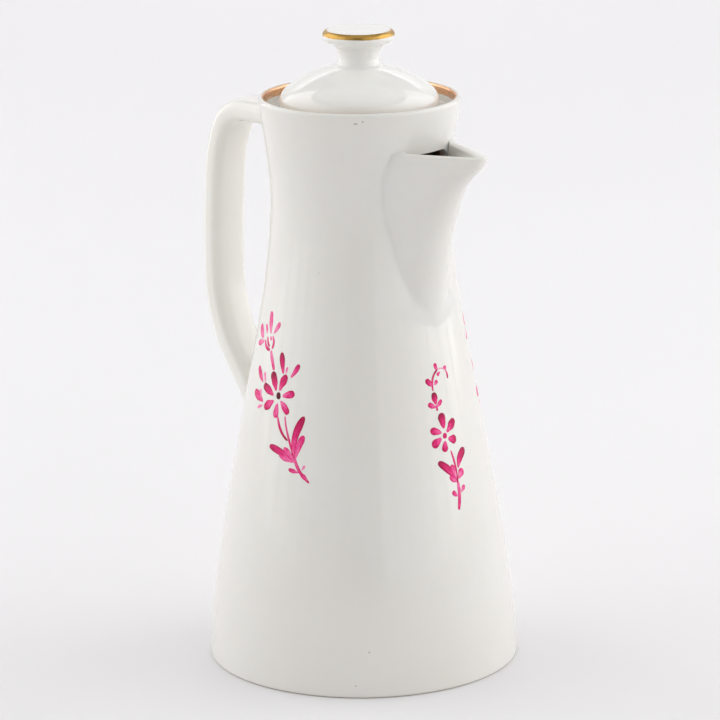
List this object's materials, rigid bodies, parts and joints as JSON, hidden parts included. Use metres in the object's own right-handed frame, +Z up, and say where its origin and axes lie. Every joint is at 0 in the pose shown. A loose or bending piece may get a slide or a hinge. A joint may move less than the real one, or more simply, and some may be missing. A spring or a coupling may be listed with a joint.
{
  "type": "coffee pot",
  "caption": "Tall conical porcelain coffee pot with a waisted neck, beak spout, strap handle, gilded rim, painted flower sprigs and a domed lift-off lid with a flared knob.",
  "frame": {"origin": "centre of the foot ring, on the plane that the pot stands on", "axes": "+Z up along the pot's axis, +X towards the spout, the handle towards -X"},
  "size_m": [0.1385, 0.1178, 0.242],
  "materials": {
    "porcelain": "gloss",
    "gilding": "polished",
    "painted_enamel": "gloss"
  },
  "bodies": {
    "pot": {"pot_body": "porcelain", "spout": "porcelain", "handle": "porcelain", "rim_gold_band": "gilding"},
    "lid": {"lid": "porcelain", "lid_knob": "porcelain", "knob_gold_band": "gilding"}
  },
  "joints": [
    {"name": "lid_lift", "type": "slide", "parent": "pot", "child": "lid", "axis": [0, 0, 1], "range_m": [0, 0.04]}
  ]
}
